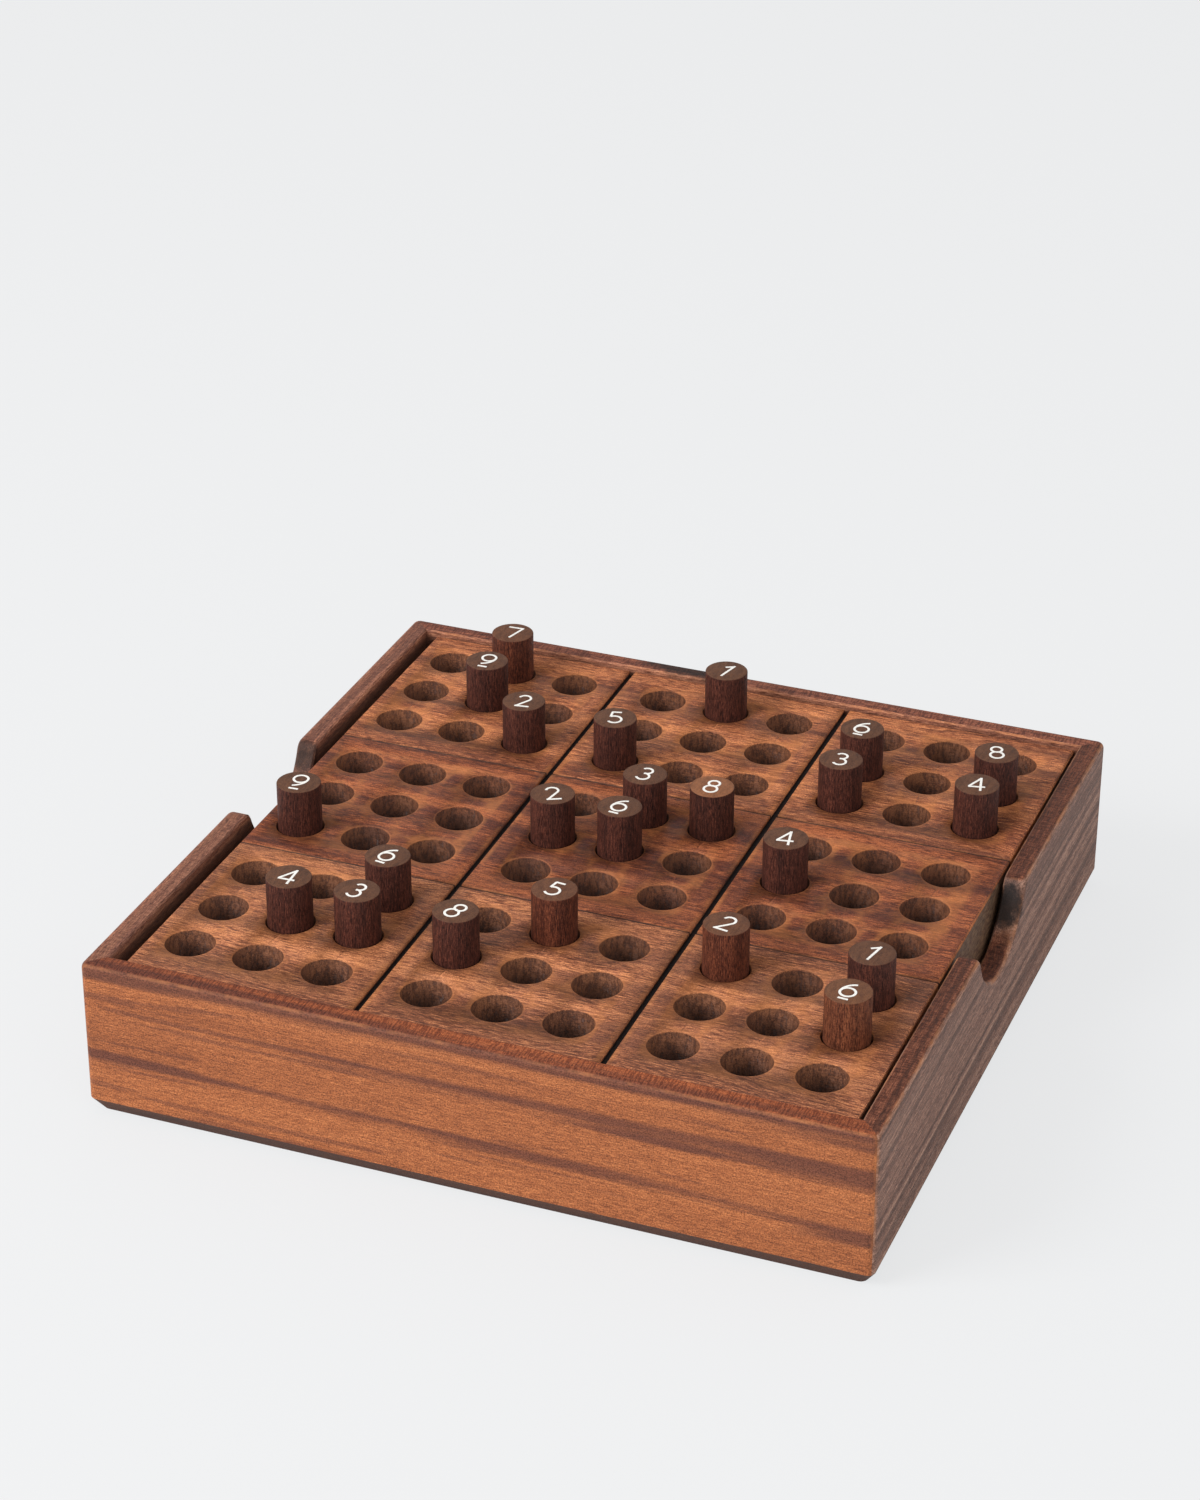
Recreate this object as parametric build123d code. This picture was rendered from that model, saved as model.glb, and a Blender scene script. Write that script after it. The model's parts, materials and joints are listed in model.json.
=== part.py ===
# Wooden sudoku board: a mitred box, a lift-out board with 81 blind peg holes,
# 23 numbered pegs set out on the board and 58 stored in the box below it.
# Millimetres. The origin is at the centre of the underside, +Z up, -Y is the front.

from build123d import *
from math import cos, radians, sin
import os

# Hole grid: nine by nine holes in blocks of three
HOLE_PITCH = 16.0
BLOCK_EXTRA = 6.8          # extra step from one block of three to the next
HOLES_PER_BLOCK = 3
BLOCKS = 3

# Pegs and their holes
PEG_DIAMETER = 10.0
PEG_LENGTH = 20.0
PEG_PLAY = 0.5             # radial clearance of a peg in its hole
HOLE_DEPTH = 8.8

# Board: three staves glued edge to edge
BOARD_THICKNESS = 15.0
MARGIN_LEFT = 9.4          # from the outer hole centres to the edges of the board
MARGIN_RIGHT = 11.4
MARGIN_FRONT = 12.2
MARGIN_BACK = 12.2
BOARD_EASE = 0.7           # rounded top edges round the board
SEAM_EASE = 0.6            # bevel of each stave along a glued seam
GROOVE_WIDTH = 2.0
GROOVE_DEPTH = 1.5
GROOVE_SHIFT = -1.3        # the grooves lie a little left of half way between blocks

# Gaps between the board and the walls
GAP_LEFT = 3.0
GAP_RIGHT = 1.1
GAP_FRONT = 0.3
GAP_BACK = 0.3

# Box
WALL_THICKNESS = 5.0
RIM_ABOVE_BOARD = 1.0
BASE_THICKNESS = 4.0
REBATE_WIDTH = 1.5         # step at the foot of the walls that the base is glued into
LEDGE_WIDTH = 6.0
LEDGE_HEIGHT = 6.0
LEDGE_END_GAP = 0.5
STORE_HEADROOM = 1.0       # between the stored pegs and the underside of the ledges
TOP_ROUND = 1.4            # outer top edge, less than CORNER_ROUND
CORNER_ROUND = 1.8         # outer upright edges
INNER_EASE = 0.4
FOOT_BEVEL_IN = 2.0
FOOT_BEVEL_UP = 3.3

# Finger notches in the left and right walls
NOTCH_RADIUS = 18.0
NOTCH_DEPTH = 13.4
NOTCH_SHIFT = 1.2          # towards the back
NOTCH_CORNER = 3.0

# Stored pegs, which lie on the base panel under the board
STORED_SIDES = 12          # flats round a stored dowel, drawn plainer than a placed one
STORE_GAP = 0.3            # between neighbours
STORE_TURN = 12.0          # largest turn of a peg from its row, degrees
STORE_TURN_STEP = 137.5    # the turn varies from peg to peg by this phase, degrees

# The game as it is set out, from the back row to the front, a dot for an empty hole
SET_OUT = (
    ".7..1....",
    ".9....6.8",
    "..25..3.4",
    "....38...",
    "...26.4..",
    "9........",
    "..6.5.2.1",
    ".438....6",
    ".........",
)
PEGS_OF_EACH_DIGIT = 9
DIGIT_WORDS = ("ones", "twos", "threes", "fours", "fives", "sixes", "sevens", "eights", "nines")

# Worked out from the sizes above
SIDE = HOLES_PER_BLOCK * BLOCKS
BLOCK_PITCH = HOLES_PER_BLOCK * HOLE_PITCH + BLOCK_EXTRA
GRID_SPAN = (BLOCKS - 1) * BLOCK_PITCH + (HOLES_PER_BLOCK - 1) * HOLE_PITCH
HOLE_DIAMETER = PEG_DIAMETER + 2 * PEG_PLAY
BOARD_WIDTH = MARGIN_LEFT + GRID_SPAN + MARGIN_RIGHT
BOARD_DEPTH = MARGIN_FRONT + GRID_SPAN + MARGIN_BACK
INNER_WIDTH = GAP_LEFT + BOARD_WIDTH + GAP_RIGHT
INNER_DEPTH = GAP_FRONT + BOARD_DEPTH + GAP_BACK
BOX_WIDTH = INNER_WIDTH + 2 * WALL_THICKNESS
BOX_DEPTH = INNER_DEPTH + 2 * WALL_THICKNESS
BOARD_LEFT = -INNER_WIDTH / 2 + GAP_LEFT
BOARD_RIGHT = BOARD_LEFT + BOARD_WIDTH
BOARD_FRONT = -INNER_DEPTH / 2 + GAP_FRONT
BOARD_BACK = BOARD_FRONT + BOARD_DEPTH
GRID_X = BOARD_LEFT + MARGIN_LEFT + GRID_SPAN / 2
GRID_Y = BOARD_FRONT + MARGIN_FRONT + GRID_SPAN / 2
STORE_HEIGHT = PEG_DIAMETER + STORE_HEADROOM + LEDGE_HEIGHT
BOARD_BOTTOM = BASE_THICKNESS + STORE_HEIGHT
BOARD_TOP = BOARD_BOTTOM + BOARD_THICKNESS
HOLE_BOTTOM = BOARD_TOP - HOLE_DEPTH
BOX_HEIGHT = BOARD_TOP + RIM_ABOVE_BOARD


def hole_step(index):
    """Distance of hole 0 to 8 of a row from the middle of the grid."""
    block, place = divmod(index, HOLES_PER_BLOCK)
    return (block - (BLOCKS - 1) / 2) * BLOCK_PITCH + (place - (HOLES_PER_BLOCK - 1) / 2) * HOLE_PITCH


def hole_place(row, column):
    """Centre of a hole, rows counted from the back and columns from the left, from 0."""
    return GRID_X + hole_step(column), GRID_Y - hole_step(row)


def block_seams(middle):
    """The lines half way between blocks, on either axis."""
    return [middle + (n - BLOCKS / 2) * BLOCK_PITCH for n in range(1, BLOCKS)]


# Box walls

def box_ring():
    """The four walls as one ring: bevelled foot, rebate for the base, rounded edges, two notches."""
    foot = RectangleRounded(BOX_WIDTH - 2 * FOOT_BEVEL_IN, BOX_DEPTH - 2 * FOOT_BEVEL_IN, CORNER_ROUND)
    full = RectangleRounded(BOX_WIDTH, BOX_DEPTH, CORNER_ROUND)
    bevel = loft([foot, Pos(0, 0, FOOT_BEVEL_UP) * full], ruled=True)
    upper = extrude(Pos(0, 0, FOOT_BEVEL_UP) * full, BOX_HEIGHT - FOOT_BEVEL_UP)
    store = extrude(Rectangle(INNER_WIDTH, INNER_DEPTH), BOX_HEIGHT)
    rebate = extrude(
        Rectangle(INNER_WIDTH + 2 * REBATE_WIDTH, INNER_DEPTH + 2 * REBATE_WIDTH), BASE_THICKNESS
    )
    ring = bevel + upper - store - rebate - notch_cutter()
    corners = [e for e in ring.edges().filter_by(Axis.X) if is_notch_corner(e)]
    ring = fillet(corners, NOTCH_CORNER)
    ring = fillet(rim_edges(ring, BOX_WIDTH / 2, BOX_DEPTH / 2), TOP_ROUND)
    return chamfer(rim_edges(ring, INNER_WIDTH / 2, INNER_DEPTH / 2), INNER_EASE)


def notch_cutter():
    """A round bar across the box that leaves a finger notch in each side wall."""
    axis = Plane(origin=(0, NOTCH_SHIFT, BOX_HEIGHT - NOTCH_DEPTH + NOTCH_RADIUS), z_dir=(1, 0, 0))
    return extrude(axis * Circle(NOTCH_RADIUS), BOX_WIDTH, both=True)


def is_notch_corner(edge):
    """True for the edges where a notch meets the top of its wall."""
    return abs(edge.center().Z - BOX_HEIGHT) < 0.01 and abs(edge.center().Y - NOTCH_SHIFT) < 2 * NOTCH_RADIUS


def rim_edges(ring, half_width, half_depth):
    """The edges of the rim, notches included, on the upright faces of one rectangle."""
    low = BOX_HEIGHT - NOTCH_DEPTH - 0.01
    found = []
    for edge in ring.edges():
        box = edge.bounding_box()
        if box.min.Z < low:
            continue
        upright = box.size.Z > 0.99 * (box.max.Z - low) and box.size.X + box.size.Y < 0.01
        near_x = max(abs(abs(box.min.X) - half_width), abs(abs(box.max.X) - half_width))
        near_y = max(abs(abs(box.min.Y) - half_depth), abs(abs(box.max.Y) - half_depth))
        corner = near_x <= CORNER_ROUND + 0.01 and near_y <= CORNER_ROUND + 0.01
        if not upright and (near_x < 0.01 or near_y < 0.01 or corner):
            found.append(edge)
    return found


def wall_wedge(side):
    """The space of one wall between its two mitres, for a side front, back, left or right."""
    reach = min(INNER_WIDTH, INNER_DEPTH) / 3
    x = BOX_WIDTH / 2 + 1
    y = BOX_DEPTH / 2 + 1
    corners = {
        "front": ((-x, -y), (x, -y), (x - reach, reach - y), (reach - x, reach - y)),
        "back": ((-x, y), (x, y), (x - reach, y - reach), (reach - x, y - reach)),
        "left": ((-x, -y), (-x, y), (reach - x, y - reach), (reach - x, reach - y)),
        "right": ((x, -y), (x, y), (x - reach, y - reach), (x - reach, reach - y)),
    }[side]
    return extrude(make_face(Polyline(*corners, close=True)), BOX_HEIGHT + 1, dir=(0, 0, 1))


def base_panel():
    """The base, glued into the rebate, flush with the feet of the walls."""
    face = Rectangle(INNER_WIDTH + 2 * REBATE_WIDTH, INNER_DEPTH + 2 * REBATE_WIDTH)
    return extrude(face, BASE_THICKNESS)


def ledge(side):
    """A strip glued to a side wall that the ends of the staves rest on, side -1 or 1."""
    strip = Box(
        LEDGE_WIDTH,
        INNER_DEPTH - 2 * LEDGE_END_GAP,
        LEDGE_HEIGHT,
        align=(Align.MAX if side > 0 else Align.MIN, Align.CENTER, Align.MAX),
    )
    strip = Pos(side * INNER_WIDTH / 2, 0, BOARD_BOTTOM) * strip
    inner = strip.faces().sort_by(Axis.X)[0 if side > 0 else -1]
    return chamfer(inner.edges().filter_by(Axis.Y), BOARD_EASE)


# Board

def stave(index):
    """One stave of the board with its 27 holes, counted from the front."""
    seams = [BOARD_FRONT] + block_seams(GRID_Y) + [BOARD_BACK]
    near, far = seams[index], seams[index + 1]
    blank = Pos(BOARD_LEFT, near, BOARD_BOTTOM) * Box(
        BOARD_WIDTH, far - near, BOARD_THICKNESS, align=(Align.MIN, Align.MIN, Align.MIN)
    )
    top = blank.faces().sort_by(Axis.Z)[-1]
    seam_edges = [e for e in top.edges().filter_by(Axis.X) if not is_board_edge(e)]
    blank = chamfer(seam_edges, SEAM_EASE)
    blank = fillet([e for e in blank.edges() if is_board_edge(e)], BOARD_EASE)
    blank -= grooves()
    rows = range(SIDE - HOLES_PER_BLOCK * (index + 1), SIDE - HOLES_PER_BLOCK * index)
    bores = [peg_hole(row, column) for row in rows for column in range(SIDE)]
    return blank - bores


def is_board_edge(edge):
    """True for the top edges round the outside of the board."""
    middle = edge.center()
    if abs(middle.Z - BOARD_TOP) > 0.01 or abs(edge.bounding_box().size.Z) > 0.01:
        return False
    at_side = abs(middle.X - BOARD_LEFT) < 0.01 or abs(middle.X - BOARD_RIGHT) < 0.01
    at_end = abs(middle.Y - BOARD_FRONT) < 0.01 or abs(middle.Y - BOARD_BACK) < 0.01
    return at_side or at_end


def grooves():
    """The painted grooves that run from front to back between the blocks."""
    groove = Box(GROOVE_WIDTH, BOX_DEPTH, 2 * GROOVE_DEPTH)
    return [Pos(x + GROOVE_SHIFT, 0, BOARD_TOP) * groove for x in block_seams(GRID_X)]


def peg_hole(row, column):
    """A flat-bottomed blind hole in the top of the board."""
    x, y = hole_place(row, column)
    bore = Cylinder(HOLE_DIAMETER / 2, HOLE_DEPTH + 1, align=(Align.CENTER, Align.CENTER, Align.MIN))
    return Pos(x, y, HOLE_BOTTOM) * bore


# Pegs

def peg():
    """A dowel peg standing on the origin, its number on the top end."""
    return Cylinder(PEG_DIAMETER / 2, PEG_LENGTH, align=(Align.CENTER, Align.CENTER, Align.MIN))


def stored_peg():
    """A peg lying along X on one of its flats, centred on the origin."""
    end = RegularPolygon(PEG_DIAMETER / 2, STORED_SIDES, major_radius=False, rotation=180 / STORED_SIDES)
    return extrude(Plane.YZ * end, PEG_LENGTH / 2, both=True)


def placed_pegs():
    """Each peg in the board, by its node's name."""
    pegs = {}
    for row, line in enumerate(SET_OUT):
        for column, digit in enumerate(line):
            if digit != ".":
                x, y = hole_place(row, column)
                pegs[f"peg_r{row + 1}c{column + 1}_{digit}"] = Pos(x, y, HOLE_BOTTOM) * peg()
    return pegs


def stored_digits():
    """The numbers of the stored pegs, mixed as they come when the pegs are dropped in."""
    placed = "".join(SET_OUT)
    left = {n: PEGS_OF_EACH_DIGIT - placed.count(str(n)) for n in range(1, SIDE + 1)}
    mixed = []
    while any(left.values()):
        for n in left:
            if left[n]:
                mixed.append(n)
                left[n] -= 1
    return mixed


def store_cells(count):
    """Places on the base for this many lying pegs, spread evenly over rows and columns."""
    turn = radians(STORE_TURN)
    along = PEG_LENGTH * cos(turn) + PEG_DIAMETER * sin(turn) + STORE_GAP
    across = PEG_LENGTH * sin(turn) + PEG_DIAMETER * cos(turn) + STORE_GAP
    columns = int(INNER_WIDTH // along)
    rows = int(INNER_DEPTH // across)
    wide = INNER_WIDTH / columns
    deep = INNER_DEPTH / rows
    places = []
    for k in range(count):
        cell = k * columns * rows // count
        row, column = divmod(cell, columns)
        places.append((wide * (column + 0.5) - INNER_WIDTH / 2, deep * (row + 0.5) - INNER_DEPTH / 2))
    return places


def stored_pegs():
    """The stored pegs of each number as one group, by its node's name."""
    lying = stored_peg()
    digits = stored_digits()
    groups = {f"stored_{word}": [] for word in DIGIT_WORDS}
    for k, (digit, (x, y)) in enumerate(zip(digits, store_cells(len(digits)))):
        turn = STORE_TURN * sin(radians(k * STORE_TURN_STEP)) + 180 * (k % 2)
        place = Pos(x, y, BASE_THICKNESS + PEG_DIAMETER / 2) * Rot(0, 0, turn)
        groups[f"stored_{DIGIT_WORDS[digit - 1]}"].append(place * lying)
    return {name: Compound(children=pegs) for name, pegs in groups.items()}


def build():
    """Every piece by its node's name."""
    ring = box_ring()
    parts = {f"{side}_wall": ring & wall_wedge(side) for side in ("front", "back", "left", "right")}
    parts["base_panel"] = base_panel()
    parts["left_ledge"] = ledge(-1)
    parts["right_ledge"] = ledge(1)
    for index, name in enumerate(("front_stave", "middle_stave", "back_stave")):
        parts[name] = stave(index)
    parts.update(placed_pegs())
    parts.update(stored_pegs())
    return parts


os.makedirs("parts", exist_ok=True)
for name, shape in build().items():
    export_step(shape, f"parts/{name}.step")
print(f"box {BOX_WIDTH:.1f} x {BOX_DEPTH:.1f} x {BOX_HEIGHT:.1f} mm, board {BOARD_WIDTH:.1f} x {BOARD_DEPTH:.1f}")
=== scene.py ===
"""A wooden sudoku board: a mitred box with a lift-out peg board, numbered pegs and a peg store."""

from __future__ import annotations

import json
import logging
import math
from dataclasses import dataclass, field, replace
from enum import Enum

import bpy
from mathutils import Matrix, Vector
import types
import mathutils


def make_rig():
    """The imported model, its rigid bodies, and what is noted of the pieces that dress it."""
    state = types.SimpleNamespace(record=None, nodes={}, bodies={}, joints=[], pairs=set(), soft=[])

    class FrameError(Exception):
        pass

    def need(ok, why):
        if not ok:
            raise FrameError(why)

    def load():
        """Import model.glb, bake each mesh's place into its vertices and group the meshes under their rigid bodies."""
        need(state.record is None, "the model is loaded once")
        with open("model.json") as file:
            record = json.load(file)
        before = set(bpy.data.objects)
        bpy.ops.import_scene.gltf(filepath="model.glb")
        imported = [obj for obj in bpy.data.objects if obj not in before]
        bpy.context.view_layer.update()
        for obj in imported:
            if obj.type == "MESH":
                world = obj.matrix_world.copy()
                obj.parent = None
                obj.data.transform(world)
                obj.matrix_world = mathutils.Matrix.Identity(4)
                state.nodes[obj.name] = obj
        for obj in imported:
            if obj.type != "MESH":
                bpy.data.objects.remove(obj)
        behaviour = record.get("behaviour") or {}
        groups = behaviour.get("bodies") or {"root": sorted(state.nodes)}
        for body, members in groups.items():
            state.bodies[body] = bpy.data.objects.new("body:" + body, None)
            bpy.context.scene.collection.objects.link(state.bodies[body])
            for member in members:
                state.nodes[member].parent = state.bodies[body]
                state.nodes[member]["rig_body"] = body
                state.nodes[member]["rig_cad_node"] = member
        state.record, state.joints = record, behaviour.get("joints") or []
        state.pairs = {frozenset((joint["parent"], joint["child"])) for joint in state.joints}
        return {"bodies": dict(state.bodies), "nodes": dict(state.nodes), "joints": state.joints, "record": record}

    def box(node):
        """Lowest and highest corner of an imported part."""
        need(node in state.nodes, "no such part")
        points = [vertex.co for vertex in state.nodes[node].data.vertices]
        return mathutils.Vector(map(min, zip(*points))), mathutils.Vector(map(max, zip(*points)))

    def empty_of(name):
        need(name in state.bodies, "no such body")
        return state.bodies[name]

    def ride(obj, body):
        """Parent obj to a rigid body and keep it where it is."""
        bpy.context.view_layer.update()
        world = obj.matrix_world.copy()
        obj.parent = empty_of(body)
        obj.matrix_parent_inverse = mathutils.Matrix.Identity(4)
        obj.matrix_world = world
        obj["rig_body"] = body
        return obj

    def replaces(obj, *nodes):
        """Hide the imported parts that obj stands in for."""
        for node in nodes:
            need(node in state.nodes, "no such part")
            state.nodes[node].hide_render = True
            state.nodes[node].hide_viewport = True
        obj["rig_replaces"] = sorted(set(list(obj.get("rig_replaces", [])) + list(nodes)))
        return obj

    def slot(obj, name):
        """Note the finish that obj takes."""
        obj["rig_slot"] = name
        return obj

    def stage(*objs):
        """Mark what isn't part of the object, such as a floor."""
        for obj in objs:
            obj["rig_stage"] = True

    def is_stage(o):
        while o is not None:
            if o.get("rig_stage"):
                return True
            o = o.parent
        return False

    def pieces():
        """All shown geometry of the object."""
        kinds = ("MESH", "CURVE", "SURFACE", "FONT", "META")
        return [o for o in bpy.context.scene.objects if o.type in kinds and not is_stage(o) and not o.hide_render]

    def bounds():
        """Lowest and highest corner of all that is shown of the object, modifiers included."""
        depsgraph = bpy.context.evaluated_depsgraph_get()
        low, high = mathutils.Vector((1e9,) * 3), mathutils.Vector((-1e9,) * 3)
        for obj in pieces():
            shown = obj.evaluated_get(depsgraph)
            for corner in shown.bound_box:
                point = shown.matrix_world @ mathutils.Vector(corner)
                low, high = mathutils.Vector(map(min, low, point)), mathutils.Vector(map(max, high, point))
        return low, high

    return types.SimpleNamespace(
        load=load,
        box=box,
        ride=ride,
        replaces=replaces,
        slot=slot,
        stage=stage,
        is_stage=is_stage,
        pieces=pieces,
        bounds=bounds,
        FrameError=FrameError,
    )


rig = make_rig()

log = logging.getLogger("sudoku_board")

Socket = bpy.types.NodeSocket
Color = tuple[float, float, float, float]

MM = 0.001
SMOOTH_ANGLE = math.radians(35)
SIZE_FILE = "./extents.json"

# Sizes of the frame that the finishes need, in millimetres
BOARD_TOP = 36.0
HOLE_PITCH = 16.0
BLOCK_PITCH = 54.8
GRID_X = -0.05

# Where a groove shows: its shift from the half way line between blocks, how far the shift changes
# for each mm to the back, and half its width
GROOVE_SHIFT = -0.25
GROOVE_SLANT = -0.0075
GROOVE_HALF = 0.8


def srgb(*levels: float) -> Color:
    """A colour of 0 to 255 as it is seen, in the linear values that a shader takes."""
    shares = (level / 255 for level in levels)
    return (*(s / 12.92 if s <= 0.04045 else ((s + 0.055) / 1.055) ** 2.4 for s in shares), 1.0)


def groove_middle(side: float, y: float) -> float:
    """The middle of the left (-0.5) or right (0.5) groove across the board, at y, in millimetres."""
    return GRID_X + side * BLOCK_PITCH + GROOVE_SHIFT + GROOVE_SLANT * y


WHITE = srgb(255, 255, 255)
PORE = srgb(128, 96, 86)
SPECK = srgb(158, 148, 144)
HATCH = srgb(136, 92, 82)
# Painted shade for the bevel round the foot, which faces downwards
FOOT_SHADE = srgb(48, 34, 31)
# Painted shade in the narrow gap between the box's walls and the board
GAP_SHADE = srgb(58, 38, 32)
SOOT = srgb(26, 20, 19)

# Broad and thin streaks: width as a share of a band, how much later they start, and strength
STREAK_KINDS = ((0.8, 0.0, 1.0), (0.22, 0.03, 0.55))


@dataclass(frozen=True)
class Palette:
    """The colours of one board of wood, from the darkest streak to the lightest fibre."""

    streak: Color
    dark: Color
    body: Color
    light: Color


def palette(*shades: tuple[int, int, int]) -> Palette:
    """A palette from its four shades as they are seen, 0 to 255."""
    return Palette(*(srgb(*shade) for shade in shades))


class Grain(Enum):
    """The way the fibres of a piece run."""

    ALONG_X = "x"
    ALONG_Y = "y"
    UPRIGHT = "z"


class Shader:
    """Adds and links the nodes of one material."""

    def __init__(self, name: str) -> None:
        """Starts an empty material with a Principled shader.

        Args:
            name: the material's name.
        """
        self.material = bpy.data.materials.new(name)
        self.material.use_nodes = True
        self.tree = self.material.node_tree
        self.tree.nodes.clear()
        self.surface = self.add("ShaderNodeBsdfPrincipled")
        self.output = self.add("ShaderNodeOutputMaterial", {"Surface": self.surface.outputs["BSDF"]})

    def add(self, kind: str, inputs: dict | None = None, **settings: object) -> bpy.types.Node:
        """Adds a node, sets its properties and feeds its inputs.

        Args:
            kind: the node's type.
            inputs: what each input takes, by the input's place or name.
            **settings: properties of the node by name.

        Returns:
            The new node.
        """
        node = self.tree.nodes.new(kind)
        for key, value in settings.items():
            setattr(node, key, value)
        for key, value in (inputs or {}).items():
            self.feed(node.inputs[key], value)
        return node

    def feed(self, socket: Socket, value: object) -> None:
        """Links an output to a socket, or sets the socket's own value.

        Args:
            socket: the input socket.
            value: an output socket, a number, a vector or a colour.
        """
        if isinstance(value, Socket):
            self.tree.links.new(value, socket)
        else:
            socket.default_value = value

    def math(self, operation: str, *values: object) -> Socket:
        """The result of a Math node's operation on one to three values."""
        return self.add("ShaderNodeMath", dict(enumerate(values)), operation=operation).outputs[0]

    def times(self, first: object, second: object) -> Socket:
        """The product of two values."""
        return self.math("MULTIPLY", first, second)

    def minus(self, first: object, second: object) -> Socket:
        """The first value less the second."""
        return self.math("SUBTRACT", first, second)

    def size(self, value: object) -> Socket:
        """A value without its sign."""
        return self.math("ABSOLUTE", value)

    def sway(self, pattern: object, reach: float, value: object) -> Socket:
        """A value moved to both sides by a pattern that varies round 0.5."""
        return self.math("MULTIPLY_ADD", self.minus(pattern, 0.5), reach, value)

    def step(self, value: object, low: float, high: float) -> Socket:
        """A smooth step from 0 at the value low to 1 at the value high, in either order."""
        inputs = dict(enumerate((value, low, high, 0.0, 1.0) if low < high else (value, high, low, 1.0, 0.0)))
        return self.add("ShaderNodeMapRange", inputs, interpolation_type="SMOOTHSTEP").outputs[0]

    def noise(self, vector: object, scale: float, detail: float = 2.0, rough: float = 0.5) -> Socket:
        """A noise that varies round 0.5, with so many features in one unit and finer layers of them."""
        inputs = {"Vector": vector, "Scale": scale, "Detail": detail, "Roughness": rough}
        return self.add("ShaderNodeTexNoise", inputs).outputs["Fac"]

    def vector(self, *parts: object) -> Socket:
        """A vector from its three parts."""
        return self.add("ShaderNodeCombineXYZ", dict(enumerate(parts))).outputs[0]

    def parts(self, vector: Socket) -> tuple[Socket, ...]:
        """The three parts of a vector."""
        return tuple(self.add("ShaderNodeSeparateXYZ", {0: vector}).outputs)

    def mix(self, share: object, first: object, second: object, blend: str = "MIX") -> Socket:
        """Two colours mixed, with this share of the second one."""
        inputs = {0: share, 6: first, 7: second}
        return self.add("ShaderNodeMix", inputs, data_type="RGBA", blend_type=blend).outputs[2]

    def ramp(self, value: object, stops: tuple[tuple[float, Color], ...]) -> Socket:
        """A colour ramp.

        Args:
            value: what the ramp reads.
            stops: each stop's place and colour.

        Returns:
            The colour's output socket.
        """
        node = self.add("ShaderNodeValToRGB", {0: value})
        elements = node.color_ramp.elements
        while len(elements) < len(stops):
            elements.new(0.5)
        for element, (place, color) in zip(elements, stops):
            element.position = place
            element.color = color
        return node.outputs["Color"]

    def millimetres(self) -> tuple[Socket, ...]:
        """The three Object coordinates in millimetres."""
        inputs = {0: self.add("ShaderNodeTexCoord").outputs["Object"], "Scale": 1 / MM}
        return self.parts(self.add("ShaderNodeVectorMath", inputs, operation="SCALE").outputs[0])

    def normal(self) -> tuple[Socket, ...]:
        """The three parts of the smoothed normal."""
        return self.parts(self.add("ShaderNodeNewGeometry").outputs["Normal"])

    def cover(self, *values: object) -> None:
        """Sets the surface's colour, roughness and specular level, in this order."""
        for name, value in zip(("Base Color", "Roughness", "Specular IOR Level"), values):
            self.feed(self.surface.inputs[name], value)

    def bump(self, height: object, depth: float, strength: float) -> None:
        """Raises the surface by a pattern of 0 to 1, to a depth in millimetres."""
        node = self.add("ShaderNodeBump", {"Strength": strength, "Distance": depth * MM, "Height": height})
        self.feed(self.surface.inputs["Normal"], node.outputs[0])


@dataclass
class Coat:
    """A finish in the making: the place in millimetres, and the colour and height so far.

    Along, across and depth are the place in the wood. Drifted is across, bent as growth rings bend.
    """

    shader: Shader
    x: Socket
    y: Socket
    z: Socket
    along: Socket
    across: Socket
    depth: Socket
    drifted: Socket
    color: Socket | None = None
    height: Socket | None = None

    def here(self) -> Socket:
        """The place as a vector."""
        return self.shader.vector(self.x, self.y, self.z)

    def tint(self, share: object, color: object, blend: str = "MIX") -> None:
        """Lays a colour over the one so far.

        Args:
            share: how much of it is taken.
            color: the colour.
            blend: the way it is mixed.
        """
        self.color = self.shader.mix(share, self.color, color, blend)


@dataclass(frozen=True)
class Scorch:
    """A burnt patch on the wood: its middle and its half width each way, in millimetres."""

    middle: tuple[float, float, float]
    reach: tuple[float, float, float]
    strength: float
    ragged: float = 1.3
    border: tuple[float, float] = (1.7, 0.9)

    def burn(self, coat: Coat) -> None:
        """Darkens the wood round the patch, with a ragged border.

        Args:
            coat: the finish in the making.
        """
        shader = coat.shader
        total = shader.times(shader.noise(coat.here(), 0.5, 4.0, 0.7), self.ragged)
        for place, middle, reach in zip((coat.x, coat.y, coat.z), self.middle, self.reach):
            away = shader.times(shader.minus(place, middle), 1 / reach)
            total = shader.math("MULTIPLY_ADD", away, away, total)
        coat.tint(shader.times(shader.step(total, *self.border), self.strength), SOOT)


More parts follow.
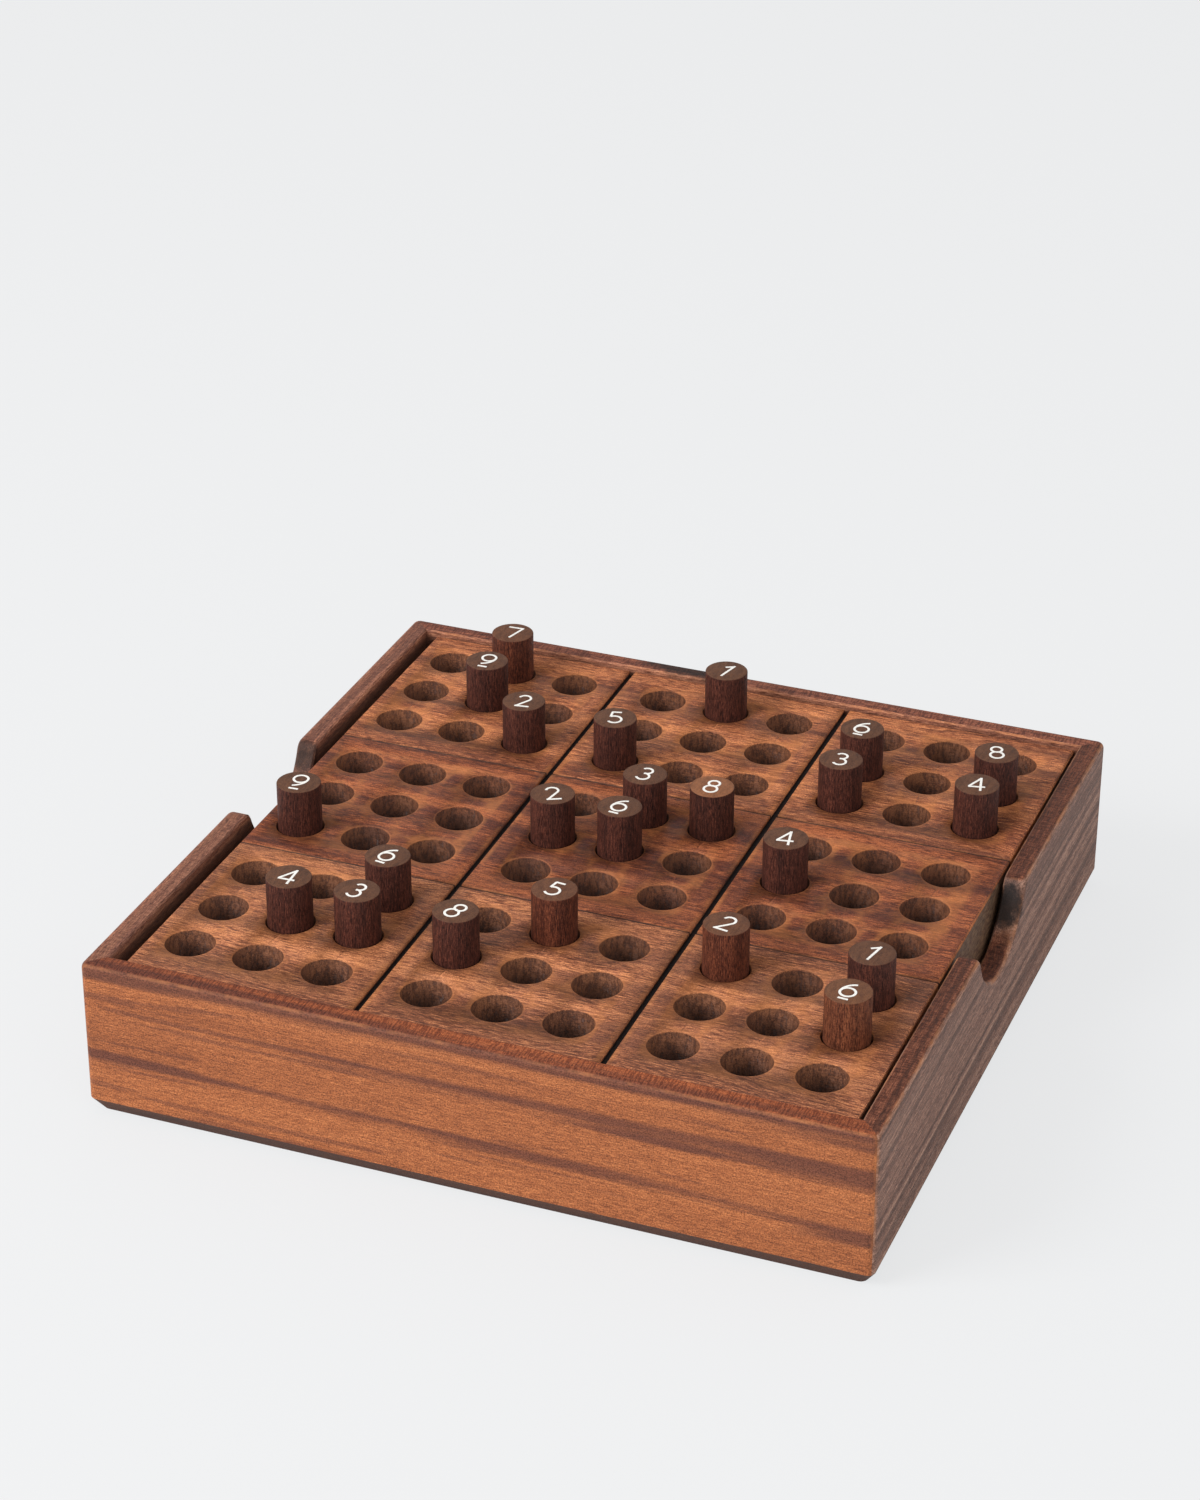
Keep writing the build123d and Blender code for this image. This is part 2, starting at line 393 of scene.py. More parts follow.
@dataclass(frozen=True)
class Wood:
    """An oiled hardwood finish with dark streaks, fibres, pores, and worn edges with a painted highlight.

    Lengths and widths are in millimetres, and the rest are shares of 1. A step is written as the
    value where it starts and the value where it is full.
    """

    name: str
    grain: Grain
    palette: Palette
    shift: tuple[float, float, float] = (0.0, 0.0, 0.0)
    streaks: float = 0.6
    band_width: float = 7.0
    band_length: float = 110.0
    drift: float = 1.3
    bands: float = 1.0
    streak_from: float = 0.54
    fray: float = 0.16
    fibres: float = 0.5
    fibre_length: float = 9.0
    fibre_width: float = 0.34
    hatch: float = 0.6
    pores: float = 0.6
    speckle: float = 0.6
    roughness: float = 0.55
    specular: float = 0.25
    bump_depth: float = 0.1
    bump_strength: float = 0.85
    # rubbed wood and a painted highlight on the rounded edges
    wear_and_highlight: float = 0.4
    wear_and_highlight_color: Color = srgb(206, 130, 74)
    wear_and_highlight_heights: tuple[float, float] = (4.0, 6.0)
    top_tint: Color = WHITE
    inner_faces: tuple[float, float] = (83.6, 83.3)
    gap_heights: tuple[float, float] = (36.3, 34.4)
    scorches: tuple[Scorch, ...] = ()

    def lay_grain(self) -> Coat:
        """Starts the material and reads the place in the wood.

        Returns:
            The finish in the making, with no colour yet.
        """
        shader = Shader(self.name)
        x, y, z = shader.millimetres()
        order = {Grain.ALONG_X: (x, y, z), Grain.ALONG_Y: (y, x, z), Grain.UPRIGHT: (z, x, y)}[self.grain]
        along, across, depth = (shader.math("ADD", socket, shift) for socket, shift in zip(order, self.shift))
        slow = shader.vector(
            shader.times(along, 1 / self.band_length),
            shader.times(across, 0.25 / self.band_width),
            shader.times(depth, 0.25 / self.band_width),
        )
        bend = shader.noise(slow, 1.6)
        drifted = shader.math("MULTIPLY_ADD", bend, self.drift * self.band_width, across)
        return Coat(shader, x, y, z, along, across, depth, drifted)

    def drawn(self, coat: Coat, length: float, width: float, **how: float) -> Socket:
        """A noise drawn out along the fibres.

        Args:
            coat: the finish in the making.
            length: the length of a feature along the fibres, in millimetres.
            width: its width across them.
            **how: detail and rough of the noise.

        Returns:
            The noise's socket.
        """
        shader = coat.shader
        vector = shader.vector(
            shader.times(coat.along, 1 / length),
            shader.times(coat.drifted, 1 / width),
            shader.times(coat.depth, 1 / width),
        )
        return shader.noise(vector, 1.0, **how)

    def lay_color(self, coat: Coat) -> None:
        """Gives the wood its bands, fibres, streaks, pores and specks.

        Args:
            coat: the finish in the making.
        """
        shader = coat.shader
        bands = self.drawn(coat, self.band_length, self.band_width, detail=3.0, rough=0.55)
        fine = self.drawn(coat, self.fibre_length, self.fibre_width, detail=3.0, rough=0.6)
        hair = self.drawn(coat, self.fibre_length / 4, self.fibre_width / 2, detail=2.0, rough=0.75)
        tone = shader.sway(bands, self.bands, 0.5)
        tone = shader.sway(fine, self.fibres * 1.1, tone)
        tone = shader.sway(hair, self.fibres * 1.8, tone)
        shades = self.palette
        coat.color = shader.ramp(tone, ((0.32, shades.dark), (0.5, shades.body), (0.68, shades.light)))
        self.lay_streaks(coat, fine)
        pore = self.drawn(coat, self.fibre_length / 4, self.fibre_width * 0.6, detail=1.0)
        pore = shader.times(shader.step(pore, 0.55, 0.64), self.pores)
        coat.tint(pore, PORE, "MULTIPLY")
        speck = shader.noise(coat.here(), 3.0, rough=0.75)
        coat.tint(self.speckle, shader.ramp(speck, ((0.36, SPECK), (0.6, WHITE))), "MULTIPLY")
        height = shader.minus(shader.times(fine, 0.7), pore)
        coat.height = shader.math("MULTIPLY_ADD", hair, 0.3, height)

    def lay_streaks(self, coat: Coat, fine: Socket) -> None:
        """Lays the dark growth bands over the wood, a few broad ones and many thin ones.

        Args:
            coat: the finish in the making.
            fine: the noise of the fibres, which frays the bands.
        """
        shader = coat.shader
        for width, later, share in STREAK_KINDS:
            length = self.band_length * (0.6 + width)
            ribbon = self.drawn(coat, length, self.band_width * width, detail=2.0, rough=0.45)
            frayed = shader.sway(fine, self.fray, ribbon)
            low = self.streak_from + later
            amount = shader.times(shader.step(frayed, low, low + 0.08), self.streaks * share)
            coat.tint(amount, self.palette.streak)

    def hatch_top(self, coat: Coat) -> None:
        """Tints the upward faces, where the saw cut across the rings, and hatches them finely.

        Args:
            coat: the finish in the making.
        """
        shader = coat.shader
        upward = shader.step(shader.normal()[2], 0.7, 0.92)
        coat.tint(upward, self.top_tint, "MULTIPLY")
        rings = shader.vector(shader.times(coat.along, 2.4), shader.times(coat.across, 0.3), coat.z)
        lines = shader.step(shader.noise(rings, 1.0, rough=0.6), 0.46, 0.58)
        coat.tint(shader.times(shader.times(upward, lines), self.hatch), HATCH, "MULTIPLY")

    def shade_foot(self, coat: Coat) -> None:
        """Paints shade on the bevel round the foot, which faces downwards."""
        # painted shade where the foot's bevel faces downwards
        down = coat.shader.step(coat.shader.normal()[2], -0.2, -0.4)
        coat.tint(coat.shader.times(down, 0.85), FOOT_SHADE)

    def shade_gap(self, coat: Coat) -> None:
        """Paints shade on the inner faces of the box, down in the narrow gap round the board.

        Args:
            coat: the finish in the making.
        """
        shader = coat.shader
        facing = []
        for place, side in zip((coat.x, coat.y), shader.normal()):
            inner = shader.step(shader.size(place), *self.inner_faces)
            facing.append(shader.times(inner, shader.step(shader.size(side), 0.8, 0.95)))
        # painted shade on the inner faces below the board's top
        under = shader.step(coat.z, *self.gap_heights)
        share = shader.times(shader.math("MAXIMUM", *facing), under)
        coat.tint(shader.times(share, 0.7), GAP_SHADE)

    def rub_and_highlight_edges(self, coat: Coat) -> None:
        """Tints the rounded edges: wood that hands have rubbed, and a painted highlight along them.

        Args:
            coat: the finish in the making.
        """
        shader = coat.shader
        sides = [shader.size(part) for part in shader.normal()]
        flat = shader.math("MAXIMUM", shader.math("MAXIMUM", sides[0], sides[1]), sides[2])
        rounded = shader.step(flat, 0.94, 0.8)
        patch = shader.noise(coat.here(), 0.12, 4.0, 0.65)
        rubbed = shader.times(rounded, shader.step(patch, 0.36, 0.66))
        rubbed = shader.times(rubbed, shader.step(coat.z, *self.wear_and_highlight_heights))
        # rubbed wood and painted highlight on the rounded edges
        coat.tint(shader.times(rubbed, self.wear_and_highlight), self.wear_and_highlight_color)

    def oil(self, coat: Coat) -> bpy.types.Material:
        """Gives the wood its satin coat of oil and its fibres their depth.

        Args:
            coat: the finish in the making.

        Returns:
            The material.
        """
        shader = coat.shader
        rough = shader.math("MULTIPLY_ADD", coat.height, 0.15, self.roughness)
        shader.cover(coat.color, rough, self.specular)
        shader.bump(coat.height, self.bump_depth, self.bump_strength)
        return shader.material

    def make(self) -> bpy.types.Material:
        """Makes the finish of a wall.

        Returns:
            The finished material.
        """
        coat = self.lay_grain()
        self.lay_color(coat)
        self.hatch_top(coat)
        self.rub_and_highlight_edges(coat)
        self.shade_foot(coat)
        self.shade_gap(coat)
        for scorch in self.scorches:
            scorch.burn(coat)
        return self.oil(coat)


@dataclass(frozen=True)
class StaveWood(Wood):
    """The finish of a stave: board wood, with peg holes, painted grooves and dark glued seams."""

    speckle: float = 0.8
    hole_radius: tuple[float, float] = (5.9, 5.6)
    hole_depth: float = 7.5
    # painted shade in the holes: over the drilled wood's brown, and darker deeper down
    hole_wood_and_shade_color: Color = srgb(86, 52, 35)
    deep_shade_color: Color = srgb(112, 92, 82)
    torn_color: Color = srgb(110, 74, 60)
    # worn wood and a painted highlight round each hole's rim
    rim_radius: tuple[float, float] = (5.95, 5.6)
    rim_wear_and_highlight_color: Color = srgb(190, 120, 74)
    end_faces: tuple[float, float] = (79.5, 79.8)
    end_dark: Color = srgb(58, 44, 36)
    end_color: Color = srgb(112, 90, 68)
    groove_bottom: tuple[float, float] = (1.7, 1.55)
    seams: tuple[float, ...] = (-27.4, 27.4)
    seam_edge: tuple[float, float] = (0.48, 0.2)
    paint: Color = srgb(34, 25, 23)

    def to_hole(self, shader: Shader, coordinate: object, middle: float) -> Socket:
        """The distance to the nearest hole's centre line on one axis, in millimetres.

        Args:
            shader: the material that is made.
            coordinate: the place on that axis.
            middle: the middle of the grid on that axis.

        Returns:
            The distance's socket.
        """
        place = shader.minus(coordinate, middle)
        block = shader.math("ROUND", shader.times(place, 1 / BLOCK_PITCH))
        place = shader.math("MULTIPLY_ADD", block, -BLOCK_PITCH, place)
        hole = shader.math("ROUND", shader.times(place, 1 / HOLE_PITCH))
        hole = shader.math("MAXIMUM", shader.math("MINIMUM", hole, 1.0), -1.0)
        return shader.math("MULTIPLY_ADD", hole, -HOLE_PITCH, place)

    def to_groove(self, coat: Coat) -> Socket:
        """The distance to the nearer painted groove, in millimetres.

        Args:
            coat: the finish in the making.

        Returns:
            The distance's socket.
        """
        shader = coat.shader
        found = []
        for side in (-0.5, 0.5):
            middle = shader.math("MULTIPLY_ADD", coat.y, GROOVE_SLANT, groove_middle(side, 0.0))
            found.append(shader.size(shader.minus(coat.x, middle)))
        return shader.math("MINIMUM", *found)

    def shade_and_tear_holes(self, coat: Coat, radius: Socket, below: Socket) -> None:
        """Darkens the walls of the holes with painted shade, more towards the bottom, and tears their fibres.

        Args:
            coat: the finish in the making.
            radius: the distance to the nearest hole's axis.
            below: the depth below the board's top.
        """
        shader = coat.shader
        inside = shader.times(shader.step(radius, *self.hole_radius), shader.step(below, 0.05, 0.4))
        # the drilled wood's brown, darkened as painted shade inside the holes
        coat.tint(shader.times(inside, 0.75), self.hole_wood_and_shade_color)
        # painted shade, darker towards the bottom of each hole
        deep = shader.times(inside, shader.step(below, 1.0, self.hole_depth))
        coat.tint(shader.times(deep, 0.75), self.deep_shade_color, "MULTIPLY")
        long = shader.vector(coat.x, coat.y, shader.times(coat.z, 0.35))
        torn = shader.times(inside, shader.step(shader.noise(long, 1.3, 4.0, 0.75), 0.46, 0.6))
        coat.tint(shader.times(torn, 0.6), self.torn_color, "MULTIPLY")
        coat.height = shader.math("MULTIPLY_ADD", torn, -0.9, coat.height)

    def saw_ends(self, coat: Coat) -> None:
        """Shows the rings on the sawn ends of the stave.

        Args:
            coat: the finish in the making.
        """
        shader = coat.shader
        cut = shader.step(shader.size(shader.normal()[0]), 0.92, 0.99)
        cut = shader.times(cut, shader.step(shader.size(coat.x), *self.end_faces))
        rings = shader.vector(0.0, shader.times(coat.y, 0.5), shader.times(coat.z, 1.6))
        sawn = shader.ramp(shader.noise(rings, 1.0, 3.0), ((0.35, self.end_dark), (0.62, self.end_color)))
        coat.tint(shader.times(cut, 0.85), sawn)

    def paint_grooves(self, coat: Coat, ragged: Socket, below: Socket) -> None:
        """Paints the lower part of the grooves, with a ragged upper border.

        Args:
            coat: the finish in the making.
            ragged: the noise of the border.
            below: the depth below the board's top.
        """
        shader = coat.shader
        painted = shader.step(self.to_groove(coat), GROOVE_HALF + 0.05, GROOVE_HALF)
        painted = shader.times(painted, shader.step(shader.sway(ragged, 0.7, below), 0.5, 1.1))
        painted = shader.times(painted, shader.step(below, *self.groove_bottom))
        coat.tint(painted, self.paint)

    def glue(self, coat: Coat, ragged: Socket) -> None:
        """Darkens the seams between the staves.

        Args:
            coat: the finish in the making.
            ragged: the noise of the seams' borders.
        """
        shader = coat.shader
        for seam in self.seams:
            near = shader.sway(ragged, 0.15, shader.size(shader.minus(coat.y, seam)))
            coat.tint(shader.times(shader.step(near, *self.seam_edge), 0.85), self.paint)

    def make(self) -> bpy.types.Material:
        """Makes the finish of a stave.

        Returns:
            The finished material.
        """
        coat = self.lay_grain()
        self.lay_color(coat)
        self.rub_and_highlight_edges(coat)
        shader = coat.shader
        ragged = shader.noise(coat.here(), 1.9, 3.0, 0.7)
        below = shader.minus(BOARD_TOP, coat.z)
        dx = self.to_hole(shader, coat.x, GRID_X)
        dy = self.to_hole(shader, coat.y, 0.0)
        radius = shader.math("SQRT", shader.math("ADD", shader.times(dx, dx), shader.times(dy, dy)))
        radius = shader.sway(ragged, 0.45, radius)
        self.shade_and_tear_holes(coat, radius, below)
        self.saw_ends(coat)
        # worn wood with a painted highlight along each hole's rim
        rim_wear_and_highlight = shader.times(shader.step(below, 0.06, 0.02), shader.step(radius, *self.rim_radius))
        coat.tint(shader.times(rim_wear_and_highlight, 0.3), self.rim_wear_and_highlight_color)
        self.paint_grooves(coat, ragged, below)
        self.glue(coat, ragged)
        return self.oil(coat)


@dataclass(frozen=True)
class PegWood(Wood):
    """A dark dowel: long fibres on its side, pores and rings on its sawn ends."""

    streaks: float = 0.15
    band_width: float = 2.2
    band_length: float = 60.0
    bands: float = 0.4
    fibres: float = 0.65
    fibre_length: float = 6.0
    fibre_width: float = 0.24
    pores: float = 0.75
    roughness: float = 0.6
    specular: float = 0.18
    bump_strength: float = 0.9
    end_color: Color = WHITE
    end_dark: Color = WHITE

    def make(self) -> bpy.types.Material:
        """Makes the finish of a peg.

        Returns:
            The finished material.
        """
        coat = self.lay_grain()
        self.lay_color(coat)
        shader = coat.shader
        facing = shader.normal()[2 if self.grain is Grain.UPRIGHT else 0]
        end = shader.step(shader.size(facing), 0.6, 0.8)
        pits = shader.noise(coat.here(), 3.4, rough=0.7)
        across = shader.vector(shader.times(coat.x, 0.9), shader.times(coat.y, 0.3), coat.z)
        rings = shader.noise(across, 1.0, 3.0, 0.7)
        sawn = shader.ramp(rings, ((0.2, self.end_dark), (0.6, self.end_color)))
        sawn = shader.mix(shader.times(shader.step(pits, 0.5, 0.64), 0.7), sawn, self.end_dark)
        coat.tint(end, sawn)
        shader.cover(coat.color, self.roughness, self.specular)
        height = shader.math("MULTIPLY_ADD", shader.times(end, pits), -0.6, coat.height)
        shader.bump(height, self.bump_depth, self.bump_strength)
        return shader.material


@dataclass(frozen=True)
class Paint:
    """White paint for the numbers, a little thin and uneven."""

    name: str = "number_paint"
    thin_color: Color = srgb(214, 209, 201)
    full_color: Color = srgb(240, 238, 233)
    roughness: float = 0.55
    specular: float = 0.5
    bump_depth: float = 0.04
    bump_strength: float = 0.6

    def make(self) -> bpy.types.Material:
        """Makes the paint.

        Returns:
            The finished material.
        """
        shader = Shader(self.name)
        layer = shader.noise(shader.vector(*shader.millimetres()), 3.0, 3.0, 0.6)
        color = shader.ramp(layer, ((0.3, self.thin_color), (0.55, self.full_color)))
        shader.cover(color, self.roughness, self.specular)
        shader.bump(layer, self.bump_depth, self.bump_strength)
        return shader.material


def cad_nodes() -> dict[str, bpy.types.Object]:
    """The CAD nodes by name."""
    return {o["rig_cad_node"]: o for o in bpy.data.objects if "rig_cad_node" in o}


def deselect() -> None:
    """Leaves nothing selected, so that an operator acts on the new piece alone."""
    if bpy.context.object and bpy.context.object.mode != "OBJECT":
        bpy.ops.object.mode_set(mode="OBJECT")
    bpy.ops.object.select_all(action="DESELECT")


def pick(*pieces: bpy.types.Object) -> None:
    """Selects these pieces alone, and makes the first one active.

    Args:
        *pieces: what is selected.
    """
    deselect()
    for piece in pieces:
        piece.select_set(True)
    bpy.context.view_layer.objects.active = pieces[0]


def open_mesh() -> None:
    """Goes into edit mode with the active piece's whole mesh selected."""
    bpy.ops.object.mode_set(mode="EDIT")
    bpy.ops.mesh.select_all(action="SELECT")


def settle(piece: bpy.types.Object) -> None:
    """Puts a piece's place into its mesh, so that its object sits at the origin."""
    pick(piece)
    bpy.ops.object.transform_apply(location=True, rotation=True, scale=True)


def dress(piece: bpy.types.Object, material: bpy.types.Material) -> None:
    """Gives a piece one material."""
    piece.data.materials.clear()
    piece.data.materials.append(material)


def copy_of(piece: bpy.types.Object, name: str) -> bpy.types.Object:
    """A copy of a piece with a mesh of its own.

    Args:
        piece: what is copied.
        name: the copy's name.

    Returns:
        The copy.
    """
    twin = piece.copy()
    twin.data = piece.data.copy()
    twin.name = name
    twin.data.name = name
    bpy.context.scene.collection.objects.link(twin)
    return twin


def join(pieces: list[bpy.types.Object], name: str) -> bpy.types.Object:
    """Joins pieces to one.

    Args:
        pieces: what is joined; the first one takes in the others.
        name: the name of the whole.

    Returns:
        The whole.
    """
    pick(*pieces)
    if len(pieces) > 1:
        bpy.ops.object.join()
    joined = bpy.context.object
    joined.name = name
    return joined


@dataclass(frozen=True)
class Line:
    """A straight stretch of a stroke, in millimetres."""

    length: float


@dataclass(frozen=True)
class Arc:
    """A round stretch of a stroke, turning left for a positive angle in degrees."""

    radius: float
    turn: float


@dataclass(frozen=True)
class Stroke:
    """One stroke of a number: where it starts, its heading in degrees, and its stretches."""

    x: float
    y: float
    heading: float
    run: tuple[Line | Arc, ...]


def ring(x: float, y: float, radius: float) -> Stroke:
    """A whole circle of a number."""
    return Stroke(x + radius, y, 90, (Arc(radius, 180), Arc(radius, 180)))


# Half the height of a number, from middle to middle of its strokes
HALF = 2.85
SIX = (ring(0, -1.05, 1.75), Stroke(-1.75, -1.05, 90, (Arc(3.7, -74),)))
NINE = (ring(0, 1.05, 1.75), Stroke(1.75, 1.05, -90, (Arc(3.7, -74),)))
UNDERLINE = (Stroke(-1.2, -HALF - 1.0, 0, (Line(2.4),)),)

NUMBERS: dict[int, tuple[Stroke, ...]] = {
    1: (Stroke(-1.2, 1.35, 41, (Line(2.2),)), Stroke(0.45, HALF + 0.35, -90, (Line(2 * HALF + 0.7),))),
    2: (Stroke(-1.37, 1.7, 75, (Arc(1.45, -203), Line(4.1))), Stroke(-1.75, -HALF, 0, (Line(3.6),))),
    3: (
        Stroke(-1.2, 2.15, 60, (Arc(1.3, -240), Line(0.3))),
        Stroke(-0.35, 0.25, 0, (Line(0.3), Arc(1.55, -240))),
    ),
    4: (
        Stroke(0.86, HALF + 0.35, -90, (Line(2 * HALF + 0.7),)),
        Stroke(0.8, HALF, -123.7, (Line(4.95),)),
        Stroke(-2.1, -1.3, 0, (Line(4.05),)),
    ),
    5: (
        Stroke(1.35, HALF, 180, (Line(2.4),)),
        Stroke(-0.9, HALF, -96, (Line(2.45),)),
        Stroke(-1.13, 0.42, 38, (Arc(1.72, -272),)),
    ),
    6: SIX + UNDERLINE,
    7: (Stroke(-1.9, HALF, 0, (Line(4.0),)), Stroke(1.85, HALF, -108, (Line(6.0),))),
    8: (ring(0, 1.55, 1.32), ring(0, -1.25, 1.6)),
    9: NINE + UNDERLINE,
}


@dataclass
class NumberSet:
    """The painted numbers, each modelled once as flat strokes and then copied."""

    stroke_width: float = 0.54
    share: float = 0.94
    paint_thickness: float = 0.07
    raised: float = 0.6
    raised_each: float = 0.02
    arc_step: float = 9.0
    merge: float = 0.002
    models: dict[int, bpy.types.Object] = field(default_factory=dict)

    def sweep(self, stroke: Stroke, order: int) -> bpy.types.Object:
        """Sweeps the brush's width along one stroke.

        Args:
            stroke: the stroke.
            order: its place in the number, which lifts it a hair above the one before.

        Returns:
            The stroke's object.
        """
        deselect()
        bpy.ops.mesh.primitive_plane_add(size=1, location=(0, 0, 0))
        piece = bpy.context.object
        open_mesh()
        bpy.ops.mesh.merge(type="CENTER")
        heading = math.radians(stroke.heading)
        unit = self.share * MM
        side = Vector((-math.sin(heading), math.cos(heading), 0)) * self.stroke_width * MM
        place = Vector((stroke.x, stroke.y, 0)) * unit
        bpy.ops.transform.translate(value=place - side / 2)
        bpy.ops.mesh.extrude_region_move(TRANSFORM_OT_translate={"value": side})
        bpy.ops.mesh.select_all(action="SELECT")
        for stretch in stroke.run:
            if isinstance(stretch, Line):
                ahead = Vector((math.cos(heading), math.sin(heading), 0)) * stretch.length * unit
                bpy.ops.mesh.extrude_region_move(TRANSFORM_OT_translate={"value": ahead})
                place += ahead
                continue
            hand = 1 if stretch.turn > 0 else -1
            left = Vector((-math.sin(heading), math.cos(heading), 0))
            centre = place + left * hand * stretch.radius * unit
            turn = math.radians(stretch.turn)
            steps = max(3, round(abs(stretch.turn) / self.arc_step))
            bpy.ops.mesh.spin(steps=steps, angle=-turn, center=centre, axis=(0, 0, 1))
            place = centre + Matrix.Rotation(turn, 3, "Z") @ (place - centre)
            heading += turn
        bpy.ops.mesh.select_all(action="SELECT")
        bpy.ops.mesh.remove_doubles(threshold=self.merge * MM)
        bpy.ops.mesh.normals_make_consistent(inside=False)
        bpy.ops.object.mode_set(mode="OBJECT")
        if piece.data.polygons[0].normal.z < 0:
            open_mesh()
            bpy.ops.mesh.flip_normals()
            bpy.ops.object.mode_set(mode="OBJECT")
        solid = piece.modifiers.new("paint", "SOLIDIFY")
        solid.thickness = self.paint_thickness * MM
        solid.offset = self.raised + self.raised_each * order
        bpy.ops.object.modifier_apply(modifier=solid.name)
        return piece

    def copy(self, digit: int, name: str) -> bpy.types.Object:
        """A copy of one number, which faces up at the origin, with its own mesh.

        Args:
            digit: the number, 1 to 9.
            name: the copy's name.

        Returns:
            The copy.
        """
        if digit not in self.models:
            pieces = [self.sweep(stroke, k) for k, stroke in enumerate(NUMBERS[digit])]
            self.models[digit] = join(pieces, f"number_model_{digit}")
        return copy_of(self.models[digit], name)

    def clear(self) -> None:
        """Takes the models away once every copy is made."""
        for model in self.models.values():
            bpy.data.objects.remove(model)
        self.models = {}


class Tone(Enum):
    """How dark a peg came out of the stain."""

    DEEP = "deep"
    CAPPED = "capped"
    RED = "red"
    PALE = "pale"


# Each tone's streak, dark, body and light shade, and the light and dark shade of its sawn ends
PEG_SHADES: dict[Tone, tuple[tuple[int, int, int], ...]] = {
    Tone.DEEP: ((46, 26, 22), (54, 29, 24), (78, 41, 33), (108, 60, 46), (108, 72, 52), (74, 48, 37)),
    Tone.CAPPED: ((42, 24, 20), (50, 27, 22), (74, 39, 31), (104, 58, 44), (150, 98, 66), (112, 70, 47)),
    Tone.RED: ((52, 27, 21), (66, 33, 24), (96, 49, 34), (128, 71, 48), (114, 74, 52), (80, 50, 37)),
    Tone.PALE: ((60, 34, 25), (78, 43, 29), (112, 61, 41), (144, 86, 57), (122, 80, 55), (88, 55, 40)),
}

# How far each number is turned on its peg, in degrees to the left
TURNS: dict[str, float] = {
    "r1c2": 3, "r1c5": -14, "r2c2": 1, "r2c7": -3, "r2c9": 17, "r3c3": 9, "r3c4": 14, "r3c7": 4,
    "r3c9": 13, "r4c5": -4, "r4c6": 0, "r5c4": 28, "r5c5": -5, "r5c7": 11, "r6c1": 3, "r7c3": -8,
    "r7c5": -6, "r7c7": -10, "r7c9": -12, "r8c2": 2, "r8c3": -8, "r8c4": -22, "r8c9": -5,
}

# The pegs on the board that are not of the deep tone
LIGHTER: dict[str, Tone] = {
    "r1c2": Tone.RED, "r4c6": Tone.CAPPED, "r7c5": Tone.RED, "r7c7": Tone.RED, "r8c9": Tone.PALE,
}

STORE_ORDER = ("ones", "twos", "threes", "fours", "fives", "sixes", "sevens", "eights", "nines")


